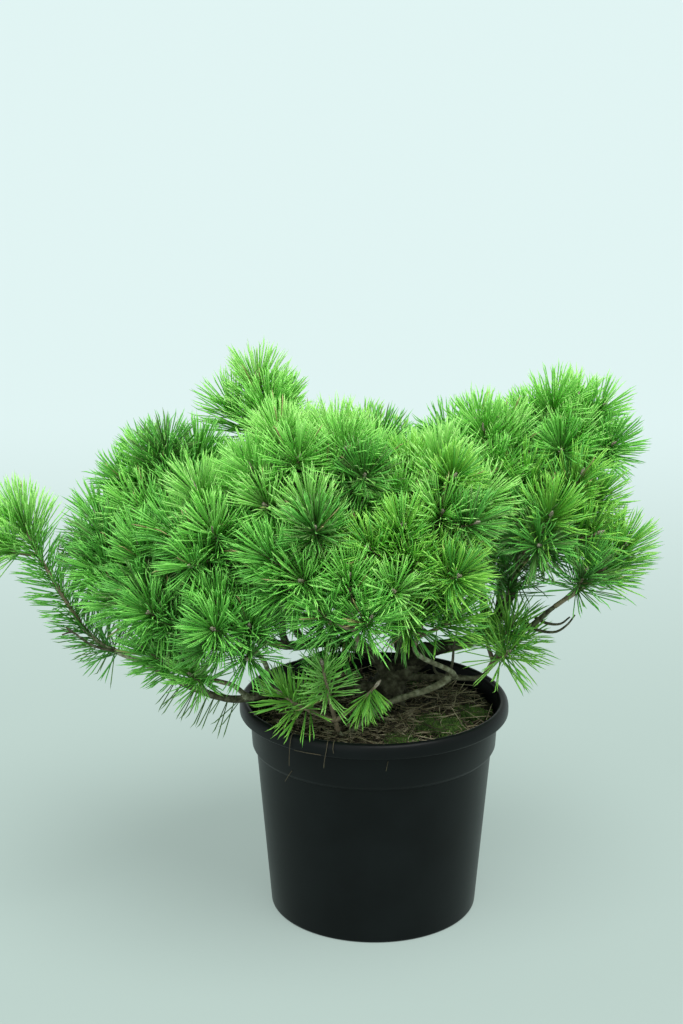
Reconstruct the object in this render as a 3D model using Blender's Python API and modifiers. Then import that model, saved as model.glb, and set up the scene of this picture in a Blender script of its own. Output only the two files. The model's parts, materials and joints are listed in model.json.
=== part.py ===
"""A dwarf Japanese red pine in a black nursery pot, metres, +Z up.

The origin is the middle of the pot's flat underside, and -Y is the side that is seen.
A short leaning trunk carries the main boughs. Each bough ends at one mass of foliage: a
whorl of shoots on one stem, each shoot a slim core that sprays of needles stand out of.
"""
import math

import bmesh
import bpy
import numpy as np
from mathutils import Vector

# Pot, a turned shell. Sizes in metres.
POT_HEIGHT = 0.2656
LIP_RADIUS = 0.1626
LIP_FOOT = 0.2480
BASE_RADIUS = 0.1256
BAND_FOOT = 0.2055
BAND_RADIUS = 0.1470
BAND_TOP_RADIUS = 0.1498
BODY_TOP_RADIUS = 0.1425
WALL = 0.0026
FLOOR = 0.0032
TURN_STEPS = 36
DRAIN_HOLES = 8
DRAIN_SIDES = 10
DRAIN_RING = 0.088
DRAIN_RADIUS = 0.007

# Soil that fills the pot to just under the lip.
SOIL_EDGE = 0.2425
SOIL_TOP = 0.2484
SOIL_FLAT = 0.070

# Where two pieces meet, they stay this far apart, a little more round a faceted limb or inside the pot.
GAP = 0.0003
SEAT_GAP = GAP * 1.15
WALL_GAP = GAP * 1.2

# Trunk: its foot is a flat cut on the soil, and it leans to the right.
FOOT = np.array([0.013, 0.024, SOIL_TOP + GAP])
TRUNK_KNEES = ([0.006, -0.002, 0.026], [0.027, -0.008, 0.050], [0.055, -0.016, 0.072])
TRUNK_LEAN = -15.0
TRUNK_PITCH = 35.0
TRUNK_STEPS = 8
TRUNK_RUN = (0.0, 0.12, 0.30, 1.0)
TRUNK_RADII = (0.030, 0.0215, 0.0185, 0.0125)

# Shoots: one leader and a whorl of laterals to a mass.
LEADER = 0.085
LATERAL = 0.86
STEM = 0.022
LONG_STEMS = {"far_left": 0.105}
WHORL_BACK = 0.004
TIP_RADIUS = 0.0030
TWIG_RADIUS = 0.0025
CORE_RADIUS = 0.0031
BUD_RADIUS = 0.0020
LIFT = 0.45
SWING = 0.67

# Boughs: how much each follows its parent as it forks, its taper, and the length of a straight step.
FORK_FOLLOW = 0.5
TAPER = 0.8
BOUGH_STEP = 0.042
LEAST_STEPS = 5

# Needles: how far they reach, how they lean along the shoot, and the clad length of a shoot.
NEEDLE = 0.058
NEEDLE_SPREAD = (0.88, 1.06)
NEEDLE_LEAST = 0.020
NEEDLE_SHARES = (1.0, 0.8, 0.62, 0.46)
NEEDLE_ROOM = 0.0045
CLAD = 0.052
BANDS = 3
LEAST_BARE = 0.15
LONG_SHOOT = 0.14
LONG_BARE = 0.030
LEAN_LOW = 22.0
LEAN_HIGH = 58.0
LEAN_SPREAD = 7.0
END_FACE = 0.8
LEAST_UP = 0.02
CLEAR = 0.0016
CROWDED = 0.034
POT_CLEAR = 0.003
SPACE_AT = 0.8
SEED = 17

# A limb's last stretch before a cut end is straight, so that the cut is square to it.
SQUARE_END = 0.004

# The boughs and their masses, by bearings about the trunk's foot: 0 is +X and -90 faces the viewer.
# A row has: its name, the limb it leaves and how far along; the bearing, reach and height of the leader's
# bud, and the leader's pitch; the whorl's spread, turn and number of laterals, and the size of its shoots;
# the bough's radius at its root, and points that it passes.
BOUGHS = [
    ("right_crown", "trunk", 1.0, -23, .246, .552, 52, 46, 66, 5, 1.15, .0095,
     [(-10, .115, .340), (-6, .150, .385)]),
    ("top_right", "right_crown", .50, 4, .232, .620, 66, 42, 0, 4, 1.10, .0062, []),
    ("right_top", "right_crown", .30, -20, .152, .598, 72, 46, 60, 5, 1.05, .0055, []),
    ("right_out", "right_crown", .12, -20, .298, .468, 40, 46, 190, 2, 1.10, .0058, [(-14, .165, .352)]),
    ("right_low", "trunk", .30, -22, .164, .368, 62, 50, 90, 3, .60, .0058, [(-36, .088, .299)]),
    ("front_right", "right_low", .70, -76, .200, .448, 50, 34, 90, 3, 1.00, .0035, []),
    ("crown_front", "trunk", .55, -68, .161, .590, 72, 48, 0, 5, 1.10, .0075,
     [(-60, .030, .345), (-55, .055, .460)]),
    ("crown_centre", "crown_front", .45, 115, .060, .568, 78, 60, 6, 5, 1.10, .0042, []),
    ("top_mid", "crown_front", .62, -118, .132, .606, 75, 40, 84, 4, 1.00, .0042, []),
    ("centre_front", "crown_front", .38, -86, .215, .524, 55, 48, 12, 4, 1.15, .0042, []),
    ("front_mid", "trunk", .22, -101, .240, .475, 56, 40, 50, 4, .95, .0060,
     [(-125, .040, .330), (-112, .110, .360)]),
    ("front_left", "front_mid", .35, -114, .224, .545, 58, 56, 48, 5, 1.15, .0042, []),
    ("front_foot", "right_low", .66, -114, .188, .354, 62, 55, 162, 2, 1.00, .0048, [(-89, .072, .273)]),
    ("left_crown", "trunk", .34, 178, .292, .554, 58, 60, 0, 5, 1.00, .0085,
     [(145, .055, .312), (170, .135, .315), (180, .200, .372)]),
    ("left_front", "left_crown", .62, -148, .262, .550, 58, 40, 24, 4, 1.15, .0045, []),
    ("top_left", "left_crown", .52, 166, .160, .643, 80, 32, 30, 3, 1.15, .0050, []),
    ("top_front", "left_crown", .42, -134, .182, .610, 66, 58, 72, 4, 1.15, .0050, []),
    ("left_outer", "left_crown", .78, -179, .350, .480, 52, 55, 78, 3, 1.15, .0042, []),
    ("far_left", "trunk", .12, -177, .444, .490, 60, 52, 240, 1, 0.60, .0070,
     [(-160, .125, .279), (-160, .200, .278), (-166, .285, .318)]),
    ("left_foot", "far_left", .42, -153, .320, .352, 22, 45, 0, 2, 1.15, .0038, []),
    ("left_low", "far_left", .56, -158, .312, .478, 58, 60, 32, 4, 1.15, .0040, []),
    ("left_mid", "far_left", .34, -134, .285, .437, 45, 40, 6, 4, .95, .0040, []),
    ("back_stem", "trunk", .75, 62, .150, .538, 72, 50, 48, 5, 1.10, .0075, [(80, .035, .370)]),
    ("back_low", "back_stem", .30, 86, .235, .430, 45, 55, 45, 5, 1.10, .0050, []),
    ("back_right", "right_crown", .40, 34, .270, .495, 50, 55, 15, 5, 1.15, .0055, []),
    ("back_left", "left_crown", .35, 134, .275, .470, 48, 55, 30, 5, 1.15, .0055, []),
    ("back_crown", "back_stem", .45, 132, .200, .556, 62, 52, 60, 5, 1.10, .0050, []),
    ("back_side", "left_crown", .64, 160, .320, .430, 35, 55, 0, 4, 1.10, .0045, []),
]

UP = np.array([0.0, 0.0, 1.0])


def unit(v):
    return v / np.linalg.norm(v)


def place(bearing, reach, height):
    """A point about the trunk's foot."""
    a = math.radians(bearing)
    return np.array([FOOT[0] + reach * math.cos(a), FOOT[1] + reach * math.sin(a), height])


def aim(bearing, pitch):
    """A direction that points outward and up."""
    a = math.radians(bearing)
    p = math.radians(pitch)
    return np.array([math.cos(p) * math.cos(a), math.cos(p) * math.sin(a), math.sin(p)])


def smooth(points, first, last, steps):
    """A smooth line through points, with its first and last directions, as even steps."""
    pts = np.array(points)
    gaps = np.linalg.norm(np.diff(pts, axis=0), axis=1)
    slopes = np.empty_like(pts)
    slopes[0] = first
    slopes[-1] = last
    for i in range(1, len(pts) - 1):
        slopes[i] = unit(pts[i + 1] - pts[i - 1])
    line = []
    for i, gap in enumerate(gaps):
        for t in np.linspace(0.0, 1.0, 24, endpoint=i == len(gaps) - 1):
            here = (2 * t**3 - 3 * t**2 + 1) * pts[i] + (t**3 - 2 * t**2 + t) * gap * slopes[i]
            there = (3 * t**2 - 2 * t**3) * pts[i + 1] + (t**3 - t**2) * gap * slopes[i + 1]
            line.append(here + there)
    line = np.array(line)
    run = np.concatenate([[0.0], np.cumsum(np.linalg.norm(np.diff(line, axis=0), axis=1))])
    marks = np.linspace(0.0, run[-1], steps + 1)
    return np.stack([np.interp(marks, run, line[:, k]) for k in range(3)], 1)


def along(line, f):
    """The point at fraction f of a line of even steps."""
    marks = np.linspace(0.0, 1.0, len(line))
    return np.array([np.interp(f, marks, line[:, k]) for k in range(3)])


def heading(line, f):
    return unit(along(line, min(f + 0.05, 1.0)) - along(line, max(f - 0.05, 0.0)))


def trunk_line():
    knees = [FOOT] + [FOOT + knee for knee in TRUNK_KNEES]
    line = smooth(knees, UP, aim(TRUNK_LEAN, TRUNK_PITCH), TRUNK_STEPS)
    line[1] = FOOT + UP * line[1, 2] - UP * FOOT[2]
    return line


def bough_lines():
    """Each limb's line and radii, and each mass's stem foot, whorl, axis and shoots."""
    lines = {"trunk": trunk_line()}
    radii = {"trunk": np.interp(np.linspace(0, 1, TRUNK_STEPS + 1), TRUNK_RUN, TRUNK_RADII)}
    masses = {}
    for name, parent, at, bearing, reach, height, pitch, spread, turn, laterals, size, root, via in BOUGHS:
        heart = place(bearing, reach, height)
        axis = aim(bearing, pitch)
        length = LEADER * size
        whorl = heart - axis * length
        stem = LONG_STEMS.get(name, STEM)
        tip = whorl - axis * stem
        start = along(lines[parent], at)
        knees = [start] + [place(*v) for v in via] + [tip]
        lead = unit(unit(knees[1] - start) + FORK_FOLLOW * heading(lines[parent], at))
        run = sum(np.linalg.norm(b - a) for a, b in zip(knees, knees[1:]))
        steps = max(LEAST_STEPS, round(run / BOUGH_STEP))
        lines[name] = smooth(knees, lead, axis, steps)
        lines[name][-2:] = [tip - axis * SQUARE_END, tip]
        radii[name] = root + (TIP_RADIUS - root) * np.linspace(0, 1, steps + 1) ** TAPER
        side = unit(np.cross(axis, UP))
        over = np.cross(side, axis)
        shoots = [shoot_line(tip + axis * GAP, axis, length + stem - GAP)]
        for k in range(laterals):
            a = math.radians(turn + 360.0 * k / laterals)
            ray = math.cos(a) * side + math.sin(a) * over
            way = math.cos(math.radians(spread)) * axis + math.sin(math.radians(spread)) * ray
            shoots.append(shoot_line(whorl - axis * WHORL_BACK, way, length * LATERAL))
        masses[name] = shoots
    return lines, radii, masses


def shoot_line(root, way, length):
    """A shoot leaves along way and turns upward. Its last steps are the clad ones."""
    end_way = unit(way + LIFT * UP)
    end = root + length * unit(way + SWING * end_way)
    return smooth([root, end], way, end_way, 24)


def clad_steps(line, square):
    """The line's points for a tube: bare steps, then clad bands. If asked, the first step is square."""
    bare, bands = clad_share(line)
    marks = [0.0, bare * 0.5] + list(np.linspace(bare, 1.0, bands + 1))
    points = np.array([along(line, f) for f in marks])
    if square:
        points = np.insert(points, 1, points[0] + SQUARE_END * unit(line[1] - line[0]), axis=0)
    return points


def clad_share(line):
    """The share of a shoot that is bare, and the number of its clad bands."""
    run = np.linalg.norm(np.diff(line, axis=0), axis=1).sum()
    clad = run - LONG_BARE if run > LONG_SHOOT else CLAD
    return max(LEAST_BARE, 1.0 - clad / run), round(BANDS * clad / CLAD)


def segment_gaps(a0, a1, b0, b1):
    """The least distance from each segment a to each segment b, as a table."""
    da = (a1 - a0)[:, None, :]
    db = (b1 - b0)[None, :, :]
    r = a0[:, None, :] - b0[None, :, :]
    aa = (da * da).sum(-1)
    bb = (db * db).sum(-1)
    ab = (da * db).sum(-1)
    ar = (da * r).sum(-1)
    br = (db * r).sum(-1)
    s = np.clip((ab * br - ar * bb) / np.maximum(aa * bb - ab * ab, 1e-16), 0.0, 1.0)
    t = np.clip((ab * s + br) / bb, 0.0, 1.0)
    s = np.clip((ab * t - ar) / aa, 0.0, 1.0)
    return np.linalg.norm(r + s[..., None] * da - t[..., None] * db, axis=-1)


class Tubes:
    """Every limb and shoot as short straight pieces, to test what would touch them."""

    def __init__(self):
        self.start = np.empty((0, 3))
        self.end = np.empty((0, 3))
        self.radius = np.empty(0)
        self.owner = []

    def add(self, owner, line, radii):
        self.start = np.vstack([self.start, line[:-1]])
        self.end = np.vstack([self.end, line[1:]])
        self.radius = np.append(self.radius, (radii[:-1] + radii[1:]) / 2)
        self.owner += [owner] * (len(line) - 1)

    def room(self, owner, start, end):
        """The clear space from each given piece to the nearest tube of another owner."""
        others = np.array([name != owner for name in self.owner])
        gaps = segment_gaps(start, end, self.start[others], self.end[others])
        return (gaps - self.radius[others]).min(axis=1)


def kept_shoots(lines, radii, masses):
    """The shoots that neither crowd another mass's shoots nor touch a limb, and all the tubes."""
    tubes = Tubes()
    for name, line in lines.items():
        tubes.add("bough " + name, line, radii[name])
    kept = {name: [shoots[0]] for name, shoots in masses.items()}
    for name, shoots in masses.items():
        tubes.add(name, shoots[0], np.full(len(shoots[0]), CORE_RADIUS))
    for name, shoots in masses.items():
        for line in shoots[1:]:
            rivals = [s[-1] for other, group in kept.items() if other != name for s in group]
            near = min(np.linalg.norm(line[-1] - r) for r in rivals)
            room = tubes.room(name, line[:-1], line[1:]).min()
            if near > CROWDED and room > CORE_RADIUS + CLEAR:
                kept[name].append(line)
                tubes.add(name, line, np.full(len(line), CORE_RADIUS))
    return kept, tubes


def clear_of_pot(points):
    """True for each point outside the pot and its soil."""
    out = np.hypot(points[:, 0], points[:, 1])
    return (points[:, 2] > POT_HEIGHT + POT_CLEAR) | (out > LIP_RADIUS + POT_CLEAR)


def needle_length(root, way, own, rivals, name, tubes, length):
    """How far a needle can go before it meets another shoot's space, a limb or the pot; 0 to skip it."""
    across = rivals - own
    far = np.linalg.norm(across, axis=1)
    across /= far[:, None]
    room = far / 2 - CLEAR - ((root - own) * across).sum(1)
    speed = across @ way
    if (room <= 0.0).any():
        return 0.0
    ahead = speed > 1e-6
    reach = min(length, (room[ahead] / speed[ahead]).min(initial=length))
    for share in NEEDLE_SHARES:
        end = root + way * reach * share
        if reach * share < NEEDLE_LEAST:
            return 0.0
        if tubes.room(name, (root + way * NEEDLE_ROOM)[None], end[None])[0] < NEEDLE_ROOM:
            continue
        points = root + np.outer(np.linspace(0.2, 1.0, 5), end - root)
        if clear_of_pot(points).all():
            return reach * share
    return 0.0


def new_object(name, mesh, material):
    obj = bpy.data.objects.new(name, mesh)
    obj.data.materials.clear()
    obj.data.materials.append(material)
    return obj


def tube_mesh(name, line, radii, resolution, tilt=0.0):
    """A tapering tube along a line, from a bevelled curve, as a closed mesh."""
    curve = bpy.data.curves.new(name, 'CURVE')
    curve.dimensions = '3D'
    curve.bevel_depth = 1.0
    curve.bevel_resolution = resolution
    curve.use_fill_caps = True
    spline = curve.splines.new('POLY')
    spline.points.add(len(line) - 1)
    for k, (point, co, radius) in enumerate(zip(spline.points, line, radii)):
        point.co = (*co, 1.0)
        point.radius = radius
        point.tilt = tilt * k
    holder = bpy.data.objects.new(name, curve)
    bpy.context.scene.collection.objects.link(holder)
    bpy.context.view_layer.update()
    mesh = bpy.data.meshes.new_from_object(holder.evaluated_get(bpy.context.evaluated_depsgraph_get()))
    bpy.data.objects.remove(holder)
    bpy.data.curves.remove(curve)
    bm = bmesh.new()
    bm.from_mesh(mesh)
    bmesh.ops.remove_doubles(bm, verts=bm.verts, dist=1e-6)
    bmesh.ops.recalc_face_normals(bm, faces=bm.faces)
    bm.to_mesh(mesh)
    bm.free()
    mesh.name = name
    return mesh


def apply_modifiers(obj):
    bpy.context.view_layer.update()
    mesh = bpy.data.meshes.new_from_object(obj.evaluated_get(bpy.context.evaluated_depsgraph_get()))
    obj.modifiers.clear()
    obj.data = mesh


def drop_scraps(obj):
    """Keep the largest piece of a mesh."""
    bm = bmesh.new()
    bm.from_mesh(obj.data)
    loose = set(bm.verts)
    pieces = []
    while loose:
        edge = [loose.pop()]
        piece = set(edge)
        while edge:
            v = edge.pop()
            for link in v.link_edges:
                w = link.other_vert(v)
                if w in loose:
                    loose.remove(w)
                    piece.add(w)
                    edge.append(w)
        pieces.append(piece)
    pieces.sort(key=len, reverse=True)
    for piece in pieces[1:]:
        bmesh.ops.delete(bm, geom=list(piece), context='VERTS')
    bm.to_mesh(obj.data)
    bm.free()


def make_material(name, colour, roughness, metallic=0.0):
    material = bpy.data.materials.new(name)
    material.use_nodes = True
    shader = material.node_tree.nodes["Principled BSDF"]
    shader.inputs["Base Color"].default_value = (*colour, 1.0)
    shader.inputs["Roughness"].default_value = roughness
    shader.inputs["Metallic"].default_value = metallic
    material.diffuse_color = (*colour, 1.0)
    return material


def turned(name, profile, material, collection):
    """A closed shape turned about the Z axis from a profile of (radius, height) points."""
    mesh = bpy.data.meshes.new(name)
    edges = [(i, i + 1) for i in range(len(profile) - 1)]
    mesh.from_pydata([(r, 0.0, z) for r, z in profile], edges, [])
    obj = new_object(name, mesh, material)
    collection.objects.link(obj)
    screw = obj.modifiers.new("turn", 'SCREW')
    screw.steps = TURN_STEPS
    screw.render_steps = TURN_STEPS
    screw.use_merge_vertices = True
    screw.merge_threshold = 0.00001
    return obj


def pot_wall_profile():
    """The pot's outer side from the lip down, its underside, then back up inside."""
    lip = [(0.1538, POT_HEIGHT - 0.0012), (0.1565, POT_HEIGHT), (0.1600, POT_HEIGHT - 0.0018),
           (0.1619, POT_HEIGHT - 0.0055), (LIP_RADIUS, POT_HEIGHT - 0.0100),
           (LIP_RADIUS, LIP_FOOT + 0.0030), (0.1606, LIP_FOOT), (BAND_TOP_RADIUS, LIP_FOOT + 0.0004)]
    body = [(BAND_RADIUS + 0.0006, BAND_FOOT + 0.0030), (BAND_RADIUS - 0.0008, BAND_FOOT),
            (BODY_TOP_RADIUS, BAND_FOOT - 0.0045)]
    foot = [(BASE_RADIUS + 0.0008, 0.0050), (BASE_RADIUS - 0.0004, 0.0014), (BASE_RADIUS - 0.0026, 0.0),
            (0.0, 0.0)]
    inner = [(0.0, FLOOR), (BASE_RADIUS - WALL - 0.0010, FLOOR), (BODY_TOP_RADIUS - WALL, BAND_FOOT - 0.0045),
             (BAND_RADIUS - WALL - 0.0006, BAND_FOOT + 0.0010), (BAND_TOP_RADIUS - WALL, LIP_FOOT - 0.0030),
             (0.1516, POT_HEIGHT - 0.0060), lip[0]]
    return lip + body + foot + inner


def make_pot(collection, material):
    pot = turned("pot", pot_wall_profile(), material, collection)
    cutters = bpy.data.collections.new("drain_cutters")
    bpy.context.scene.collection.children.link(cutters)
    for k in range(DRAIN_HOLES):
        a = 2 * math.pi * (k + 0.5) / DRAIN_HOLES
        bm = bmesh.new()
        bmesh.ops.create_cone(bm, cap_ends=True, segments=DRAIN_SIDES, radius1=DRAIN_RADIUS,
                              radius2=DRAIN_RADIUS, depth=FLOOR * 4)
        mesh = bpy.data.meshes.new("drain_cutter")
        bm.to_mesh(mesh)
        bm.free()
        cutter = bpy.data.objects.new("drain_cutter_%d" % k, mesh)
        cutter.location = (DRAIN_RING * math.cos(a), DRAIN_RING * math.sin(a), FLOOR / 2)
        cutter.hide_render = True
        cutter.display_type = 'WIRE'
        cutters.objects.link(cutter)
    cut = pot.modifiers.new("drain", 'BOOLEAN')
    cut.operation = 'DIFFERENCE'
    cut.operand_type = 'COLLECTION'
    cut.collection = cutters
    cut.solver = 'EXACT'
    apply_modifiers(pot)
    for cutter in list(cutters.objects):
        bpy.data.objects.remove(cutter)
    bpy.data.collections.remove(cutters)
    return pot


def make_soil(collection, material):
    """Soil and litter fill the pot, flat round the trunk's foot and lower at the wall."""
    edge = BAND_TOP_RADIUS - WALL - 0.0014
    profile = [(0.0, SOIL_TOP), (SOIL_FLAT, SOIL_TOP), (0.115, SOIL_TOP - 0.0024), (edge, SOIL_EDGE),
               (BAND_RADIUS - WALL - 0.0006 - WALL_GAP, BAND_FOOT + 0.0010),
               (BODY_TOP_RADIUS - WALL - WALL_GAP, BAND_FOOT - 0.0045),
               (BASE_RADIUS - WALL - 0.0010 - WALL_GAP, FLOOR + GAP), (0.0, FLOOR + GAP)]
    soil = turned("soil", profile, material, collection)
    apply_modifiers(soil)
    return soil


def make_limbs(lines, radii, collection, material):
    """The trunk, and each bough cut clear of the limb it leaves."""
    parents = {row[0]: row[1] for row in BOUGHS}
    for name, line in lines.items():
        node = "trunk" if name == "trunk" else "bough_" + name
        resolution = 2 if name == "trunk" else 1
        limb = new_object(node, tube_mesh(node, line, radii[name], resolution), material)
        collection.objects.link(limb)
        if name not in parents:
            continue
        parent = parents[name]
        grown = lines[parent].copy()
        grown[0] -= GAP * heading(grown, 0.0)
        grown[-1] += GAP * heading(grown, 1.0)
        resolution = 2 if parent == "trunk" else 1
        mesh = tube_mesh("cutter", grown, radii[parent] + SEAT_GAP, resolution)
        cutter = new_object("cutter", mesh, material)
        bpy.context.scene.collection.objects.link(cutter)
        cut = limb.modifiers.new("seat", 'BOOLEAN')
        cut.operation = 'DIFFERENCE'
        cut.object = cutter
        cut.solver = 'EXACT'
        apply_modifiers(limb)
        bpy.data.objects.remove(cutter)
        drop_scraps(limb)


def needle_spray(mesh, line, centre, rivals, name, tubes, rng):
    """Draw each clad face of a shoot's tube out into a spike."""
    bm = bmesh.new()
    bm.from_mesh(mesh)
    bm.faces.ensure_lookup_table()
    bare = clad_share(line)[0]
    marks = np.linspace(0.0, 1.0, len(line))
    for face in [f for f in bm.faces if len(f.verts) == 4]:
        root = np.array(face.calc_center_median())
        at = marks[np.linalg.norm(line - root, axis=1).argmin()]
        way_along = heading(line, at)
        normal = np.array(face.normal)
        up = (at - bare) / (1.0 - bare)
        if abs(normal @ way_along) > END_FACE or up < LEAST_UP:
            continue
        lean = math.radians(LEAN_LOW + (LEAN_HIGH - LEAN_LOW) * up + rng.uniform(-LEAN_SPREAD, LEAN_SPREAD))
        outward = unit(normal - (normal @ way_along) * way_along)
        way = math.cos(lean) * outward + math.sin(lean) * way_along
        own = along(line, at) if at < 0.5 else centre
        length = needle_length(root, way, own, rivals, name, tubes, NEEDLE * rng.uniform(*NEEDLE_SPREAD))
        if length:
            apex = bmesh.ops.poke(bm, faces=[face], center_mode='MEAN')["verts"][0]
            apex.co = Vector(root + way * length)
    bm.to_mesh(mesh)
    bm.free()


def make_masses(kept, tubes, collection, material):
    rng = np.random.default_rng(SEED)
    centres = {name: [along(line, SPACE_AT) for line in shoots] for name, shoots in kept.items()}
    every = [(name, k) for name, shoots in kept.items() for k in range(len(shoots))]
    for name, shoots in kept.items():
        node = "foliage_" + name
        laterals = bpy.data.collections.new("laterals")
        bpy.context.scene.collection.children.link(laterals)
        mass = None
        for k, line in enumerate(shoots):
            bare = [TIP_RADIUS, TIP_RADIUS, TWIG_RADIUS] if k == 0 else [TWIG_RADIUS, TWIG_RADIUS]
            steps = clad_steps(line, square=k == 0)
            radii = bare + [CORE_RADIUS] * (len(steps) - len(bare) - 1) + [BUD_RADIUS]
            mesh = tube_mesh(node, steps, radii, 0, tilt=math.pi / 4)
            centre = centres[name][k]
            rivals = np.array([centres[n][j] for n, j in every if (n, j) != (name, k)])
            needle_spray(mesh, line, centre, rivals, name, tubes, rng)
            shoot = new_object(node if k == 0 else "lateral_%d" % k, mesh, material)
            if k == 0:
                collection.objects.link(shoot)
                mass = shoot
            else:
                laterals.objects.link(shoot)
        if len(shoots) > 1:
            join = mass.modifiers.new("join", 'BOOLEAN')
            join.operation = 'UNION'
            join.operand_type = 'COLLECTION'
            join.collection = laterals
            join.solver = 'EXACT'
            apply_modifiers(mass)
        for shoot in list(laterals.objects):
            bpy.data.objects.remove(shoot)
        bpy.data.collections.remove(laterals)


def clear_scene():
    for obj in list(bpy.data.objects):
        bpy.data.objects.remove(obj)


def build():
    clear_scene()
    plant = bpy.data.collections.new("potted_pine")
    bpy.context.scene.collection.children.link(plant)
    make_pot(plant, make_material("pot_plastic", (0.012, 0.016, 0.018), 0.42))
    make_soil(plant, make_material("litter_soil", (0.11, 0.075, 0.04), 0.95))
    lines, radii, masses = bough_lines()
    make_limbs(lines, radii, plant, make_material("bark", (0.20, 0.15, 0.11), 0.9))
    kept, tubes = kept_shoots(lines, radii, masses)
    make_masses(kept, tubes, plant, make_material("needles", (0.10, 0.32, 0.05), 0.5))


build()
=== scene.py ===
"""The potted pine's looks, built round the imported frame, in metres.

The limbs, whorls and shoots follow the same named sizes and the same rule as the solids. Real
needles, finer side shoots, buds, bark, litter and a rounded pot take the solids' place.
"""
import json
import math

import bmesh
import bpy
import numpy as np
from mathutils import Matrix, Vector, kdtree, noise

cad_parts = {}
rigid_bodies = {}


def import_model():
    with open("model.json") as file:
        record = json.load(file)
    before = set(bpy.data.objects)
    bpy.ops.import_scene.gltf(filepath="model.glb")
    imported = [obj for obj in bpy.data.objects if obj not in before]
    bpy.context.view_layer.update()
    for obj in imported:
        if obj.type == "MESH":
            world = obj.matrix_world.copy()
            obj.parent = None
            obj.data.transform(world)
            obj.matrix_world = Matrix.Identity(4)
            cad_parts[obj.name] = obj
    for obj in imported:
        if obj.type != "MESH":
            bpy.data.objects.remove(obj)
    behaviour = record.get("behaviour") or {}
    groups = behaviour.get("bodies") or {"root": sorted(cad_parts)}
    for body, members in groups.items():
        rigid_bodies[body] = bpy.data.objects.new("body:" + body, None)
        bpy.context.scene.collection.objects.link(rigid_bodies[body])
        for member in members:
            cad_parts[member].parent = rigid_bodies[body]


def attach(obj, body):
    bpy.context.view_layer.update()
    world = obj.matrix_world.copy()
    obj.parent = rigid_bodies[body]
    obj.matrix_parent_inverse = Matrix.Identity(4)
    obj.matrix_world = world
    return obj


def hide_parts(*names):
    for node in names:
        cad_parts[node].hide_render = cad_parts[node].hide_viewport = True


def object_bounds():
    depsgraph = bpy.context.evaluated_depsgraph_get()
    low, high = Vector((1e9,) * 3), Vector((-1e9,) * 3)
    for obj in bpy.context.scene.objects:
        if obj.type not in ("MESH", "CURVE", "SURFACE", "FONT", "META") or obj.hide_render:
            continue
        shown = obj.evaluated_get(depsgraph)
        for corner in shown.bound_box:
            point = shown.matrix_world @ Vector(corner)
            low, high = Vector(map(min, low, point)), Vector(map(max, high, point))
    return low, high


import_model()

CAD_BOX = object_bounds()
SEED = 23

# Pot, a turned shell. Sizes in metres.
POT_HEIGHT = 0.2656
LIP_RADIUS = 0.1626
LIP_CREST = 0.1565
LIP_FOOT = 0.2480
BASE_RADIUS = 0.1256
BAND_FOOT = 0.2055
BAND_RADIUS = 0.1470
BAND_TOP_RADIUS = 0.1498
BODY_TOP_RADIUS = 0.1425
WALL = 0.0026
FLOOR = 0.0032
DRAIN_HOLES = 8
DRAIN_RING = 0.088
DRAIN_RADIUS = 0.007

# Soil
SOIL_EDGE = 0.2425
SOIL_TOP = 0.2484
SOIL_FLAT = 0.070
SOIL_RIM = 0.1458
GAP = 0.0003

# Trunk: its foot is a flat cut on the soil, and it leans to the right.
FOOT = np.array([0.013, 0.024, SOIL_TOP + GAP])
TRUNK_KNEES = ([0.006, -0.002, 0.026], [0.027, -0.008, 0.050], [0.055, -0.016, 0.072])
TRUNK_LEAN = -15.0
TRUNK_PITCH = 35.0
TRUNK_STEPS = 8
TRUNK_RUN = (0.0, 0.12, 0.30, 1.0)
TRUNK_RADII = (0.030, 0.0215, 0.0185, 0.0125)

# Shoots: one leader and a whorl of laterals to a mass.
LEADER = 0.085
LATERAL = 0.86
STEM = 0.022
LONG_STEMS = {"far_left": 0.105}
WHORL_BACK = 0.004
TIP_RADIUS = 0.0030
TWIG_RADIUS = 0.0025
CORE_RADIUS = 0.0031
BUD_RADIUS = 0.0020
LIFT = 0.45
SWING = 0.67

# Boughs: how much each follows its parent as it forks, its taper, and the length of a straight step.
FORK_FOLLOW = 0.5
TAPER = 0.8
BOUGH_STEP = 0.042
LEAST_STEPS = 5

# Two masses' shoots keep this far apart, and a shoot keeps clear of a limb.
CLEAR = 0.0016
CROWDED = 0.034

SQUARE_END = 0.004
# The limbs' skin: how much finer its lines are, its grain, and the flares at the trunk's foot.
FINER = 8
BARK_VOXEL = 0.0016
FLARES = 5
FULL_RELIEF = 0.007

# Needles, in pairs. They lean forward from square to the shoot, more towards its tip.
NEEDLE = 0.064
NEEDLE_SPREAD = (0.88, 1.06)
NEEDLE_RADIUS = 0.00080
SHOULDER = 0.84
BEND = 0.0011
PAIR_SPLIT = (1.5, 6.5)
LEAN_LOW = 30.0
LEAN_HIGH = 63.0
CROWN_END = 0.95
LEAN_SPREAD = 8.5
RISE = 0.20
GOLDEN = 137.508
DENSITY = 1900.0
OLD_DENSITY = 700.0
OLD_LEAN = (5.0, 25.0)
LEADER_BARE = 0.50
LATERAL_BARE = 0.42
SIDE_BARE = 0.38
SPRAY_LENGTH = (0.90, 1.06)
SPRAY_DENSITY = (0.72, 1.12)
OWN_SHADE = 0.72
DRY_FROM = 0.991
MOST_NEEDLES = 19500
OUT = 0.008

# Shoots that are clad along most of their length, and their limbs.
BRUSHES = ("far_left",)
BRUSH_LEAN = (18.0, 34.0)
BRUSH_DENSITY = 1050.0
BRUSH_SHORT = 0.78
BRUSH_START = 0.68
BRUSH_LIMB = 0.84
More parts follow.
